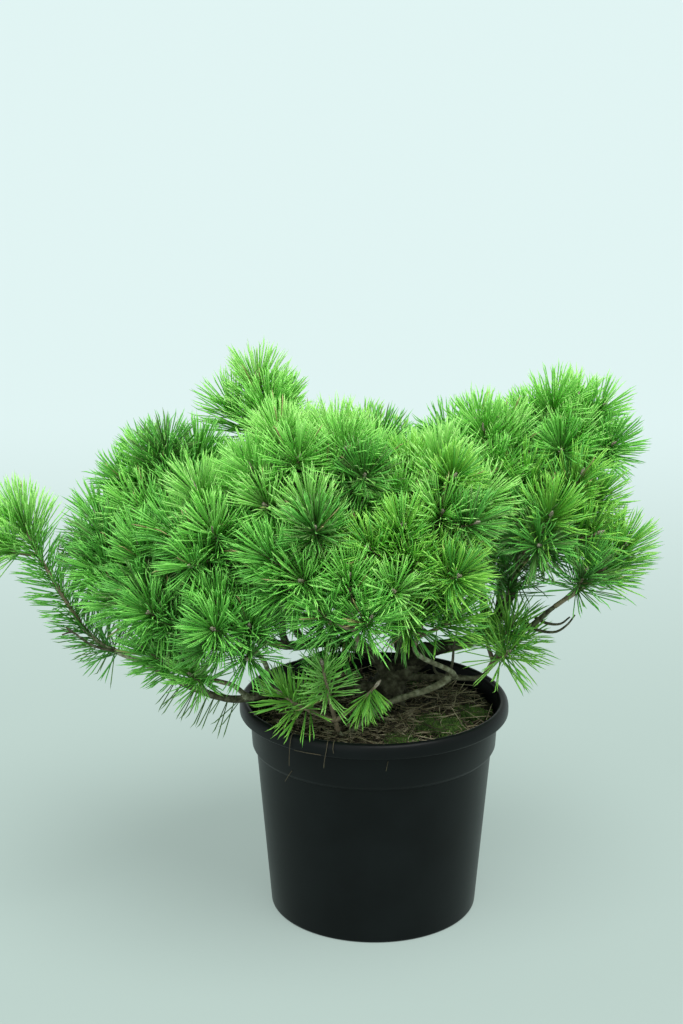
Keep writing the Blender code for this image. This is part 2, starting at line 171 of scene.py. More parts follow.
# Masses whose needles are shorter.
SHORT = {("front_foot", 2): 0.80, "front_foot": 0.68, ("top_left", 1): 0.72, ("top_right", 4): 0.86, "left_foot": 0.80, "right_low": 0.92, "front_right": 0.84, "left_mid": 0.90,
         "front_mid": 0.86, "top_left": 0.96, ("top_right", 2): 0.82, "far_left": 1.10}
# Masses with fewer needles, or more, and the shoots and limbs whose needles hang.
THIN = {"front_foot": 0.75, "left_foot": 0.85, "right_low": 0.90, "far_left": 1.5}
DROOPING = (("front_foot", 1),)
LEANS = {"front_foot": (-10.0, 60.0), "right_low": (-5.0, 62.0), "far_left": (30.0, 72.0)}
DROOP = -1.3
DROOP_BARE = 0.62
DROOP_SHORT = 0.82
HANG_DENSITY = 120.0

# Finer side shoots: where they leave their shoot, their spread and length, and the room each tip needs.
SIDE_AT = (0.20, 0.38, 0.56)
SIDE_SPREAD = (38.0, 58.0)
SIDE_LENGTH = (0.046, 0.066)
SIDE_CROWDED = 0.035
SIDE_LOWEST = 0.36
SIDE_RISE = -0.004
SIDE_TRIES = 3
FINER_SEED = 2
LIMB_AT = (0.52, 0.64, 0.76, 0.88)
LIMB_CROWDED = 0.036
# Masses with no finer side shoots, and limbs with none.
OPEN = ("right_low", "front_foot", "left_foot", "far_left", "front_right", "right_out", "top_left", "front_mid")
BARE = OPEN + ("left_mid",)
INNER = {"left_crown": (0.26, 0.34, 0.42), "front_left": (0.30, 0.42), "back_left": (0.25, 0.40), "back_low": (0.30, 0.42)}
# Thicknesses, with a minus sign, at which the bark turns from the trunk's to a limb's and a young limb's. The trunk's
# dark colour is partly its own old bark and partly painted shade under the crown.
BARK_MARKS = (-0.0066, -0.0040)
LIMB_LOOKS = {"front_foot": 2, "right_out": 1, "right_low": 1}

# The needles' shades, each between two near colours. The first five are painted light and shade, dealt out by a spray's
# place: painted shade for inner and low sprays through to painted light for top and outer ones. The first of them also
# colours the old needles along the limbs.
SHADES = {
    "needles_old_and_painted_deep_shade": ((0.120, 0.260, 0.065), (0.190, 0.360, 0.105)),
    "needles_painted_shade": ((0.127, 0.462, 0.069), (0.194, 0.591, 0.114)),
    "needles_mid": ((0.204, 0.636, 0.089), (0.297, 0.758, 0.155)),
    "needles_painted_lit": ((0.292, 0.772, 0.122), (0.404, 0.866, 0.208)),
    "needles_painted_full_light": ((0.385, 0.835, 0.175), (0.475, 0.890, 0.255)),
    "needles_warm": ((0.250, 0.650, 0.076), (0.360, 0.760, 0.130)),
    "needles_dry": ((0.340, 0.290, 0.120), (0.520, 0.450, 0.210)),
}
# Painted brightness at which a spray turns from one painted shade to the next.
SHADE_MARKS = (0.22, 0.58, 0.92, 1.27)
# How often a finer side shoot is painted two shades deeper rather than one: painted shade among the tufts.
SIDE_DEEPER = 0.20
WARM = ("centre_front", "crown_front", "crown_centre", "front_right", "right_crown", "right_low", "front_foot",
        "right_out")
WARM_SHADES = (2, 3)
# Painted light and shade for single masses: how much lighter or darker their needles are painted than their place
# gives.
GLOW = {"front_foot": 0.85, "left_foot": 0.30, "centre_front": 0.34, "top_left": 0.05, "right_crown": -0.18,
        "right_out": -0.25, "top_right": 0.10, "right_top": 0.06, "far_left": 0.25, "right_low": 0.25,
        "front_right": 0.10, "left_low": 0.08, "left_outer": 0.08, "left_mid": 0.08, "crown_centre": 0.32,
        "top_mid": 0.30, "top_front": 0.28, "crown_front": 0.28, "front_left": 0.24, "left_crown": 0.16,
        "left_front": 0.08, "back_stem": 0.25, "back_crown": 0.25}

# Fallen needles that hang over the front of the lip: place across, drop and lean.
HANGING = [(-0.0972, 0.037, -0.001), (-0.0557, 0.030, -0.003), (-0.0487, 0.011, 0.001)]
# Scraps of fallen needle on the face under the lip: the ends' places across and heights.
SCRAPS = [((-0.0967, 0.2147), (-0.1016, 0.2054), (-0.1052, 0.1976)), ((0.0137, 0.2418), (0.0115, 0.2296)),
          ((-0.0937, 0.2490), (-0.0787, 0.2494), (-0.0626, 0.2500))]
# Bare twigs, as knees along their lines.
TWIGS = [((-0.2800, -0.040, 0.333), (-0.3119, -0.045, 0.3392), (-0.3306, -0.045, 0.3441), (-0.3444, -0.045, 0.3528),
          (-0.3559, -0.045, 0.3615), (-0.3678, -0.045, 0.3578)),
         ((-0.3560, -0.045, 0.3610), (-0.3627, -0.045, 0.3677)),
         ((0.1800, -0.018, 0.3640), (0.1919, -0.025, 0.3576), (0.2132, -0.030, 0.3564), (0.2272, -0.030, 0.3651),
          (0.2362, -0.030, 0.3776)),
         ((0.1904, -0.020, 0.3713), (0.2023, -0.026, 0.3664), (0.2189, -0.030, 0.3664), (0.2304, -0.030, 0.3751)),
         ((0.0848, -0.027, 0.3000), (0.0717, -0.035, 0.3093), (0.0702, -0.037, 0.3281)),
         ((0.0860, -0.027, 0.3010), (0.0917, -0.035, 0.3168), (0.0937, -0.035, 0.3406), (0.0970, -0.035, 0.3581))]
# Moss: bearing and distance from the pot's middle, size and number of its tufts.
MOSS = [(-38.0, 0.098, 0.013, 1500), (-8.0, 0.118, 0.009, 800), (-75.0, 0.112, 0.008, 700), (150.0, 0.100, 0.011, 900),
        (70.0, 0.105, 0.012, 1000)]

# Camera, lights and backdrop.
CAMERA_AT = (-0.0393, -2.1934, 1.0954)
LOOK_DOWN = 15.3
LENS = 67.8
LIT_POINT = (0.0, 0.0, 0.40)
LIGHTS = [("key", (0.45, -0.85, 2.8), 45.0, 3.0), ("fill", (-1.8, -2.2, 1.8), 60.0, 0.45)]
WORLD_COLOUR = (0.86, 0.97, 0.94, 1.0)
WORLD_STRENGTH = 0.92
WORLD_LIGHT = 0.74
FLOOR_COLOURS = ((0.170, 0.209, 0.196), (0.239, 0.281, 0.280))
# How strongly the floor glows in its own colours: painted light that lifts the shadows cast on it.
FLOOR_GLOW = 1.57
FLOOR_TURN = (0.4, 2.8)

# The boughs and their masses, by bearings about the trunk's foot: 0 is +X and -90 faces the viewer.
# A row has: its name, the limb it leaves and how far along; the bearing, reach and height of the leader's
# bud, and the leader's pitch; the whorl's spread, turn and number of laterals, and the size of its shoots;
# the bough's radius at its root, and points that it passes.
BOUGHS = [
    ("right_crown", "trunk", 1.0, -23, .246, .552, 52, 46, 66, 5, 1.15, .0095,
     [(-10, .115, .340), (-6, .150, .385)]),
    ("top_right", "right_crown", .50, 4, .232, .620, 66, 42, 0, 4, 1.10, .0062, []),
    ("right_top", "right_crown", .30, -20, .152, .598, 72, 46, 60, 5, 1.05, .0055, []),
    ("right_out", "right_crown", .12, -20, .298, .468, 40, 46, 190, 2, 1.10, .0058, [(-14, .165, .352)]),
    ("right_low", "trunk", .30, -22, .164, .368, 62, 50, 90, 3, .60, .0058, [(-36, .088, .299)]),
    ("front_right", "right_low", .70, -76, .200, .448, 50, 34, 90, 3, 1.00, .0035, []),
    ("crown_front", "trunk", .55, -68, .161, .590, 72, 48, 0, 5, 1.10, .0075,
     [(-60, .030, .345), (-55, .055, .460)]),
    ("crown_centre", "crown_front", .45, 115, .060, .568, 78, 60, 6, 5, 1.10, .0042, []),
    ("top_mid", "crown_front", .62, -118, .132, .606, 75, 40, 84, 4, 1.00, .0042, []),
    ("centre_front", "crown_front", .38, -86, .215, .524, 55, 48, 12, 4, 1.15, .0042, []),
    ("front_mid", "trunk", .22, -101, .240, .475, 56, 40, 50, 4, .95, .0060,
     [(-125, .040, .330), (-112, .110, .360)]),
    ("front_left", "front_mid", .35, -114, .224, .545, 58, 56, 48, 5, 1.15, .0042, []),
    ("front_foot", "right_low", .66, -114, .188, .354, 62, 55, 162, 2, 1.00, .0048, [(-89, .072, .273)]),
    ("left_crown", "trunk", .34, 178, .292, .554, 58, 60, 0, 5, 1.00, .0085,
     [(145, .055, .312), (170, .135, .315), (180, .200, .372)]),
    ("left_front", "left_crown", .62, -148, .262, .550, 58, 40, 24, 4, 1.15, .0045, []),
    ("top_left", "left_crown", .52, 166, .160, .643, 80, 32, 30, 3, 1.15, .0050, []),
    ("top_front", "left_crown", .42, -134, .182, .610, 66, 58, 72, 4, 1.15, .0050, []),
    ("left_outer", "left_crown", .78, -179, .350, .480, 52, 55, 78, 3, 1.15, .0042, []),
    ("far_left", "trunk", .12, -177, .444, .490, 60, 52, 240, 1, 0.60, .0070,
     [(-160, .125, .279), (-160, .200, .278), (-166, .285, .318)]),
    ("left_foot", "far_left", .42, -153, .320, .352, 22, 45, 0, 2, 1.15, .0038, []),
    ("left_low", "far_left", .56, -158, .312, .478, 58, 60, 32, 4, 1.15, .0040, []),
    ("left_mid", "far_left", .34, -134, .285, .437, 45, 40, 6, 4, .95, .0040, []),
    ("back_stem", "trunk", .75, 62, .150, .538, 72, 50, 48, 5, 1.10, .0075, [(80, .035, .370)]),
    ("back_low", "back_stem", .30, 86, .235, .430, 45, 55, 45, 5, 1.10, .0050, []),
    ("back_right", "right_crown", .40, 34, .270, .495, 50, 55, 15, 5, 1.15, .0055, []),
    ("back_left", "left_crown", .35, 134, .275, .470, 48, 55, 30, 5, 1.15, .0055, []),
    ("back_crown", "back_stem", .45, 132, .200, .556, 62, 52, 60, 5, 1.10, .0050, []),
    ("back_side", "left_crown", .64, 160, .320, .430, 35, 55, 0, 4, 1.10, .0045, []),
]

UP = np.array([0.0, 0.0, 1.0])


def unit(v):
    return v / np.linalg.norm(v)


def place(bearing, reach, height):
    """A point about the trunk's foot."""
    a = math.radians(bearing)
    return np.array([FOOT[0] + reach * math.cos(a), FOOT[1] + reach * math.sin(a), height])


def aim(bearing, pitch):
    """A direction that points outward and up."""
    a = math.radians(bearing)
    p = math.radians(pitch)
    return np.array([math.cos(p) * math.cos(a), math.cos(p) * math.sin(a), math.sin(p)])


def smooth(points, first, last, steps):
    """A smooth line through points, with its first and last directions, as even steps."""
    pts = np.array(points)
    gaps = np.linalg.norm(np.diff(pts, axis=0), axis=1)
    slopes = np.empty_like(pts)
    slopes[0] = first
    slopes[-1] = last
    for i in range(1, len(pts) - 1):
        slopes[i] = unit(pts[i + 1] - pts[i - 1])
    line = []
    for i, gap in enumerate(gaps):
        for t in np.linspace(0.0, 1.0, 24, endpoint=i == len(gaps) - 1):
            here = (2 * t**3 - 3 * t**2 + 1) * pts[i] + (t**3 - 2 * t**2 + t) * gap * slopes[i]
            there = (3 * t**2 - 2 * t**3) * pts[i + 1] + (t**3 - t**2) * gap * slopes[i + 1]
            line.append(here + there)
    line = np.array(line)
    run = np.concatenate([[0.0], np.cumsum(np.linalg.norm(np.diff(line, axis=0), axis=1))])
    marks = np.linspace(0.0, run[-1], steps + 1)
    return np.stack([np.interp(marks, run, line[:, k]) for k in range(3)], 1)


def along(line, f):
    """The point at fraction f of a line of even steps."""
    marks = np.linspace(0.0, 1.0, len(line))
    return np.array([np.interp(f, marks, line[:, k]) for k in range(3)])


def heading(line, f):
    return unit(along(line, min(f + 0.05, 1.0)) - along(line, max(f - 0.05, 0.0)))


def trunk_line(finer=1):
    knees = [FOOT] + [FOOT + knee for knee in TRUNK_KNEES]
    line = smooth(knees, UP, aim(TRUNK_LEAN, TRUNK_PITCH), TRUNK_STEPS * finer)
    line[1] = FOOT + UP * line[1, 2] - UP * FOOT[2]
    return line


def bough_lines(finer=1):
    """Each limb's line and radii, and each mass's stem foot, whorl, axis and shoots."""
    lines = {"trunk": trunk_line(finer)}
    radii = {"trunk": np.interp(np.linspace(0, 1, TRUNK_STEPS * finer + 1), TRUNK_RUN, TRUNK_RADII)}
    masses = {}
    for name, parent, at, bearing, reach, height, pitch, spread, turn, laterals, size, root, via in BOUGHS:
        heart = place(bearing, reach, height)
        axis = aim(bearing, pitch)
        length = LEADER * size
        whorl = heart - axis * length
        stem = LONG_STEMS.get(name, STEM)
        tip = whorl - axis * stem
        start = along(lines[parent], at)
        knees = [start] + [place(*v) for v in via] + [tip]
        lead = unit(unit(knees[1] - start) + FORK_FOLLOW * heading(lines[parent], at))
        run = sum(np.linalg.norm(b - a) for a, b in zip(knees, knees[1:]))
        steps = max(LEAST_STEPS, round(run / BOUGH_STEP)) * finer
        lines[name] = smooth(knees, lead, axis, steps)
        lines[name][-2] = tip - axis * SQUARE_END if finer == 1 else lines[name][-2]
        radii[name] = root + (TIP_RADIUS - root) * np.linspace(0, 1, steps + 1) ** TAPER
        side = unit(np.cross(axis, UP))
        over = np.cross(side, axis)
        shoots = [shoot_line(tip + axis * GAP, axis, length + stem - GAP)]
        for k in range(laterals):
            a = math.radians(turn + 360.0 * k / laterals)
            ray = math.cos(a) * side + math.sin(a) * over
            way = math.cos(math.radians(spread)) * axis + math.sin(math.radians(spread)) * ray
            shoots.append(shoot_line(whorl - axis * WHORL_BACK, way, length * LATERAL))
        masses[name] = shoots
    return lines, radii, masses


def shoot_line(root, way, length):
    """A shoot leaves along way and turns upward. Its last steps are the clad ones."""
    end_way = unit(way + LIFT * UP)
    end = root + length * unit(way + SWING * end_way)
    return smooth([root, end], way, end_way, 24)


def segment_gaps(a0, a1, b0, b1):
    """The least distance from each segment a to each segment b, as a table."""
    da = (a1 - a0)[:, None, :]
    db = (b1 - b0)[None, :, :]
    r = a0[:, None, :] - b0[None, :, :]
    aa = (da * da).sum(-1)
    bb = (db * db).sum(-1)
    ab = (da * db).sum(-1)
    ar = (da * r).sum(-1)
    br = (db * r).sum(-1)
    s = np.clip((ab * br - ar * bb) / np.maximum(aa * bb - ab * ab, 1e-16), 0.0, 1.0)
    t = np.clip((ab * s + br) / bb, 0.0, 1.0)
    s = np.clip((ab * t - ar) / aa, 0.0, 1.0)
    return np.linalg.norm(r + s[..., None] * da - t[..., None] * db, axis=-1)


class Tubes:
    """Every limb and shoot as short straight pieces, to test what would touch them."""

    def __init__(self):
        self.start = np.empty((0, 3))
        self.end = np.empty((0, 3))
        self.radius = np.empty(0)
        self.owner = []

    def add(self, owner, line, radii):
        self.start = np.vstack([self.start, line[:-1]])
        self.end = np.vstack([self.end, line[1:]])
        self.radius = np.append(self.radius, (radii[:-1] + radii[1:]) / 2)
        self.owner += [owner] * (len(line) - 1)

    def room(self, owner, start, end):
        """The clear space from each given piece to the nearest tube of another owner."""
        others = np.array([name != owner for name in self.owner])
        gaps = segment_gaps(start, end, self.start[others], self.end[others])
        return (gaps - self.radius[others]).min(axis=1)


def kept_shoots(lines, radii, masses):
    """The shoots that neither crowd another mass's shoots nor touch a limb, and all the tubes."""
    tubes = Tubes()
    for name, line in lines.items():
        tubes.add("bough " + name, line, radii[name])
    kept = {name: [shoots[0]] for name, shoots in masses.items()}
    for name, shoots in masses.items():
        tubes.add(name, shoots[0], np.full(len(shoots[0]), CORE_RADIUS))
    for name, shoots in masses.items():
        for line in shoots[1:]:
            rivals = [s[-1] for other, group in kept.items() if other != name for s in group]
            near = min(np.linalg.norm(line[-1] - r) for r in rivals)
            room = tubes.room(name, line[:-1], line[1:]).min()
            if near > CROWDED and room > CORE_RADIUS + CLEAR:
                kept[name].append(line)
                tubes.add(name, line, np.full(len(line), CORE_RADIUS))
    return kept, tubes


def finer_shoots(lines, kept, tubes, rng):
    """Side shoots on the kept shoots and the limbs' outer parts, where no other tip or limb is near."""
    tips = [line[-1] for shoots in kept.values() for line in shoots]
    finer = {}
    for name, shoots in kept.items():
        finer[name] = []
        hosts = [(line, SIDE_AT, SIDE_CROWDED) for line in shoots if name not in OPEN]
        if name not in BARE:
            hosts.append((lines[name], INNER.get(name, ()) + LIMB_AT, LIMB_CROWDED))
        for line, places, crowded in hosts:
            for k, f in enumerate(places):
                axis = heading(line, f)
                side = unit(np.cross(axis, UP) + 1e-6)
                over = np.cross(side, axis)
                turn = rng.uniform(0.0, 360.0)
                for again in range(SIDE_TRIES):
                    a = math.radians(GOLDEN * (k + again) + turn)
                    spread = math.radians(rng.uniform(*SIDE_SPREAD))
                    way = math.cos(spread) * axis + math.sin(spread) * (math.cos(a) * side + math.sin(a) * over)
                    new = shoot_line(along(line, f), way, rng.uniform(*SIDE_LENGTH))
                    near = np.linalg.norm(np.array(tips) - new[-1], axis=1).min()
                    room = tubes.room(name, new[6:-1], new[7:]).min()
                    high = new[-1][2] > max(SIDE_LOWEST, new[0][2] + SIDE_RISE)
                    if near > crowded and room > 0.0 and high and clear_of_pot(new[-1:]).all():
                        finer[name].append(new)
                        tips.append(new[-1])
                        break
    return finer


def clear_of_pot(points):
    """True for each point outside the pot and its soil."""
    out = np.hypot(points[:, 0], points[:, 1])
    return (points[:, 2] > POT_HEIGHT + 0.003) | (out > LIP_RADIUS + 0.003)


def inside_box(points):
    """True for each point inside the solids' own box."""
    return ((points > np.array(CAD_BOX[0]) - OUT) & (points < np.array(CAD_BOX[1]) + OUT)).all(axis=1)


def frames(line):
    """A turning-free frame along a line: its direction, and two more directions square to it."""
    ways = np.gradient(line, axis=0)
    ways /= np.linalg.norm(ways, axis=1)[:, None]
    start = np.cross(ways[0], UP)
    if np.linalg.norm(start) < 1e-3:
        start = np.array([1.0, 0.0, 0.0])
    sides = [unit(start - (start @ ways[0]) * ways[0])]
    for way in ways[1:]:
        sides.append(unit(sides[-1] - (sides[-1] @ way) * way))
    sides = np.array(sides)
    return ways, sides, np.cross(ways, sides)


def tube(line, radii, sides):
    """Points and triangles of a closed round tube along a line."""
    _, across, over = frames(line)
    turns = 2 * math.pi * np.arange(sides) / sides
    ring = np.cos(turns)[None, :, None] * across[:, None] + np.sin(turns)[None, :, None] * over[:, None]
    points = (line[:, None] + np.asarray(radii)[:, None, None] * ring).reshape(-1, 3)
    points = np.vstack([points, line[:1], line[-1:]])
    faces = []
    for k in range(sides):
        n = (k + 1) % sides
        low = np.arange(len(line) - 1) * sides
        faces.append(np.stack([low + k, low + n, low + sides + n], 1))
        faces.append(np.stack([low + k, low + sides + n, low + sides + k], 1))
    foot = len(points) - 2
    last = (len(line) - 1) * sides
    ends = [(foot, (k + 1) % sides, k) for k in range(sides)]
    ends += [(foot + 1, last + k, last + (k + 1) % sides) for k in range(sides)]
    return points, np.vstack(faces + [np.array(ends)])


def joined(parts):
    """Several (points, triangles) as one."""
    sizes = np.cumsum([0] + [len(p) for p, _ in parts])
    points = np.vstack([p for p, _ in parts])
    return points, np.vstack([t + n for (_, t), n in zip(parts, sizes)])


def piece(name, points, triangles, look, smooth_shade=True):
    """A mesh object of the plant that rides on its one body."""
    mesh = bpy.data.meshes.new(name)
    mesh.vertices.add(len(points))
    mesh.vertices.foreach_set("co", points.astype(np.float32).ravel())
    mesh.loops.add(3 * len(triangles))
    mesh.loops.foreach_set("vertex_index", triangles.astype(np.int32).ravel())
    mesh.polygons.add(len(triangles))
    mesh.polygons.foreach_set("loop_start", np.arange(0, 3 * len(triangles), 3, dtype=np.int32))
    mesh.update(calc_edges=True)
    mesh.validate()
    if smooth_shade:
        mesh.shade_smooth()
    return dress(bpy.data.objects.new(name, mesh), look)


def dress(obj, look):
    obj.data.materials.clear()
    obj.data.materials.append(look)
    if obj.name not in bpy.context.scene.collection.objects:
        bpy.context.scene.collection.objects.link(obj)
    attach(obj, "root")
    return obj


def spikes(roots, ways, lengths, radius, bends):
    """Points and triangles of many thin three-sided needles, each bent a little at its shoulder."""
    side = np.cross(ways, UP)
    side /= np.maximum(np.linalg.norm(side, axis=1), 1e-6)[:, None]
    over = np.cross(ways, side)
    radius = np.broadcast_to(radius, lengths.shape)
    shoulder = roots + ways * (lengths * SHOULDER)[:, None] + bends
    tip = roots + ways * lengths[:, None]
    corners = 2 * math.pi * np.arange(3) / 3
    ring = np.cos(corners)[None, :, None] * side[:, None] + np.sin(corners)[None, :, None] * over[:, None]
    ring = ring * radius[:, None, None]
    points = np.concatenate([roots[:, None] + ring * 0.8, shoulder[:, None] + ring, tip[:, None]], 1)
    shape = np.array([(0, 2, 1)] + [t for k in range(3) for t in (
        (k, (k + 1) % 3, 3 + (k + 1) % 3), (k, 3 + (k + 1) % 3, 3 + k), (3 + k, 3 + (k + 1) % 3, 6))])
    triangles = shape[None] + 7 * np.arange(len(roots))[:, None, None]
    return points.reshape(-1, 3), triangles.reshape(-1, 3)


def needles_on(line, start, density, length, rng, leans=(LEAN_LOW, LEAN_HIGH), end=1.0, rise=RISE):
    """The needles of one shoot, in pairs that wind round it and lean forward more towards its tip."""
    run = np.linalg.norm(np.diff(line, axis=0), axis=1).sum()
    pairs = round(density * run * (end - start))
    f = start + (end - start) * (np.arange(pairs) + 0.5) / pairs
    marks = np.linspace(0.0, 1.0, len(line))
    ways, across, over = frames(line)
    at = [np.stack([np.interp(f, marks, v[:, k]) for k in range(3)], 1) for v in (line, ways, across, over)]
    roots, axis, side, up = at
    turn = np.radians(GOLDEN) * np.arange(pairs) + rng.normal(0.0, 0.35, pairs)
    out = np.cos(turn)[:, None] * side + np.sin(turn)[:, None] * up
    share = (f - start) / (end - start)
    lean = np.radians(leans[0] + (leans[1] - leans[0]) * share**1.6 + rng.normal(0.0, LEAN_SPREAD, pairs))
    way = np.cos(lean)[:, None] * out + np.sin(lean)[:, None] * axis + rise * UP
    way /= np.linalg.norm(way, axis=1)[:, None]
    apart = np.cross(axis, way)
    apart /= np.linalg.norm(apart, axis=1)[:, None]
    apart = np.cos(turn * 3.0)[:, None] * apart + np.sin(turn * 3.0)[:, None] * np.cross(way, apart)
    roots = np.repeat(roots + out * 0.0010, 2, axis=0)
    split = np.tan(np.radians(rng.uniform(*PAIR_SPLIT, pairs)))[:, None] * apart
    ways = np.stack([way + split, way - split], 1).reshape(-1, 3)
    ways /= np.linalg.norm(ways, axis=1)[:, None]
    lengths = length * np.repeat(1.0 - 0.12 * share**3, 2) * rng.uniform(*NEEDLE_SPREAD, 2 * pairs)
    bends = rng.normal(0.0, BEND, (2 * pairs, 3))
    tips = roots + ways * lengths[:, None]
    keep = inside_box(tips) & clear_of_pot(tips) & clear_of_pot(roots + ways * lengths[:, None] * 0.6)
    return roots[keep], ways[keep], lengths[keep], bends[keep]


def material(name, colours, scale, roughness, bump=0.0, bump_scale=200.0, specular=0.5, spread=(0.36, 0.64)):
    """A surface whose colour wanders between the given ones, with a fine relief."""
    made = bpy.data.materials.new(name)
    made.use_nodes = True
    nodes = made.node_tree.nodes
    links = made.node_tree.links
    shader = nodes["Principled BSDF"]
    shader.inputs["Specular IOR Level"].default_value = specular
    where = nodes.new("ShaderNodeTexCoord")
    noise = nodes.new("ShaderNodeTexNoise")
    noise.inputs["Scale"].default_value = scale
    noise.inputs["Detail"].default_value = 5.0
    links.new(where.outputs["Object"], noise.inputs["Vector"])
    ramp = nodes.new("ShaderNodeValToRGB")
    stops = ramp.color_ramp.elements
    places = np.linspace(*spread, len(colours))
    for k in range(len(colours) - 2):
        stops.new(places[k + 1])
    for stop, spot, colour in zip(stops, places, colours):
        stop.position = spot
        stop.color = (*colour, 1.0)
    links.new(noise.outputs["Fac"], ramp.inputs["Fac"])
    links.new(ramp.outputs["Color"], shader.inputs["Base Color"])
    gloss = nodes.new("ShaderNodeMapRange")
    gloss.inputs["To Min"].default_value = roughness[0]
    gloss.inputs["To Max"].default_value = roughness[1]
    links.new(noise.outputs["Fac"], gloss.inputs["Value"])
    links.new(gloss.outputs["Result"], shader.inputs["Roughness"])
    if bump:
        fine = nodes.new("ShaderNodeTexNoise")
        fine.inputs["Scale"].default_value = bump_scale
        fine.inputs["Detail"].default_value = 6.0
        relief = nodes.new("ShaderNodeBump")
        relief.inputs["Strength"].default_value = bump
        relief.inputs["Distance"].default_value = 0.001
        links.new(where.outputs["Object"], fine.inputs["Vector"])
        links.new(fine.outputs["Fac"], relief.inputs["Height"])
        links.new(relief.outputs["Normal"], shader.inputs["Normal"])
    return made


def turned(name, profile, steps):
    """A closed shape turned about the Z axis from a profile of (radius, height) points."""
    mesh = bpy.data.meshes.new(name)
    mesh.from_pydata([(r, 0.0, z) for r, z in profile], [(i, i + 1) for i in range(len(profile) - 1)], [])
    obj = bpy.data.objects.new(name, mesh)
    bpy.context.scene.collection.objects.link(obj)
    screw = obj.modifiers.new("turn", 'SCREW')
    screw.steps = steps
    screw.render_steps = steps
    screw.use_merge_vertices = True
    screw.merge_threshold = 0.00001
    return obj


def apply_modifiers(obj):
    bpy.context.view_layer.update()
    mesh = bpy.data.meshes.new_from_object(obj.evaluated_get(bpy.context.evaluated_depsgraph_get()))
    obj.modifiers.clear()
    obj.data = mesh
    mesh.name = obj.name


def arc(start, end, bulge_first, steps):
    """A quarter of an ellipse from start to end; it leaves start level if bulge_first, else upright."""
    turns = np.linspace(0.0, math.pi / 2, steps)
    across = np.sin(turns) if bulge_first else 1.0 - np.cos(turns)
    down = 1.0 - np.cos(turns) if bulge_first else np.sin(turns)
    return [(start[0] + (end[0] - start[0]) * a, start[1] + (end[1] - start[1]) * d) for a, d in zip(across, down)]


def make_pot(look):
    """The pot: a rolled lip, a stacking band under it, a tapering body, and drain holes in its floor."""
    lip = arc((LIP_CREST, POT_HEIGHT), (LIP_RADIUS, POT_HEIGHT - 0.0100), True, 9)
    skirt = arc((LIP_RADIUS, LIP_FOOT + 0.0030), (0.1600, LIP_FOOT), False, 5)
    under = [(0.1512, LIP_FOOT + 0.0002), (0.1500, LIP_FOOT - 0.0010)]
    band = [(BAND_RADIUS + 0.0006, BAND_FOOT + 0.0030), (BAND_RADIUS - 0.0008, BAND_FOOT)]
    body = [(BODY_TOP_RADIUS + 0.0004, BAND_FOOT - 0.0030), (BODY_TOP_RADIUS - 0.0003, BAND_FOOT - 0.0075)]
    foot = arc((BASE_RADIUS + 0.0004, 0.0040), (BASE_RADIUS - 0.0030, 0.0), False, 6)
    inner = [(0.0, FLOOR), (BASE_RADIUS - WALL - 0.0010, FLOOR), (BODY_TOP_RADIUS - WALL, BAND_FOOT - 0.0045),
             (BAND_RADIUS - WALL - 0.0006, BAND_FOOT + 0.0010), (0.1498 - WALL, LIP_FOOT - 0.0030),
             (0.1512, POT_HEIGHT - 0.0080)]
    throat = arc((0.1520, POT_HEIGHT - 0.0050), (LIP_CREST, POT_HEIGHT), False, 6)[:-1]
    pot = turned("pot_shell", lip + skirt + under + band + body + foot + [(0.0, 0.0)] + inner + throat + [lip[0]], 160)
    cutters = bpy.data.collections.new("drains")
    bpy.context.scene.collection.children.link(cutters)
    for k in range(DRAIN_HOLES):
        a = 2 * math.pi * (k + 0.5) / DRAIN_HOLES
        bm = bmesh.new()
        bmesh.ops.create_cone(bm, cap_ends=True, segments=32, radius1=DRAIN_RADIUS, radius2=DRAIN_RADIUS,
                              depth=FLOOR * 4)
        mesh = bpy.data.meshes.new("drain")
        bm.to_mesh(mesh)
        bm.free()
        cutter = bpy.data.objects.new("drain_%d" % k, mesh)
        cutter.location = (DRAIN_RING * math.cos(a), DRAIN_RING * math.sin(a), FLOOR / 2)
        cutters.objects.link(cutter)
    cut = pot.modifiers.new("drain", 'BOOLEAN')
    cut.operation = 'DIFFERENCE'
    cut.operand_type = 'COLLECTION'
    cut.collection = cutters
    cut.solver = 'EXACT'
    apply_modifiers(pot)
    for cutter in list(cutters.objects):
        bpy.data.objects.remove(cutter)
    bpy.data.collections.remove(cutters)
    pot.data.shade_smooth()
    pot.data.set_sharp_from_angle(angle=math.radians(38))
    dress(pot, look)
    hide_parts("pot")
    return pot


def soil_height(r):
    """How high the soil lies at a distance from the pot's middle."""
    return np.interp(r, [0.0, SOIL_FLAT, 0.115, SOIL_RIM], [SOIL_TOP, SOIL_TOP, SOIL_TOP - 0.0024, SOIL_EDGE])


def make_soil(look):
    """Lumpy soil to the pot's wall, with the same sides and underside as the pot's inside."""
    reach = np.linspace(0.0, SOIL_RIM, 64)
    profile = [(r, soil_height(r)) for r in reach]
    profile += [(BAND_RADIUS - WALL - 0.0010, BAND_FOOT + 0.0010), (BODY_TOP_RADIUS - WALL - 0.0004, BAND_FOOT - 0.0045),
                (BASE_RADIUS - WALL - 0.0014, FLOOR + GAP), (0.0, FLOOR + GAP)]
    soil = turned("potting_soil", profile, 200)
    apply_modifiers(soil)
    for v in soil.data.vertices:
        if v.co.z > SOIL_EDGE - 0.001:
            lump = noise.noise(v.co * 38.0) * 0.0022 + noise.noise(v.co * 130.0) * 0.0014
            v.co.z += lump + abs(noise.noise(v.co * 420.0)) * 0.0012
    soil.data.shade_smooth()
    dress(soil, look)
    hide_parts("soil")
    return soil


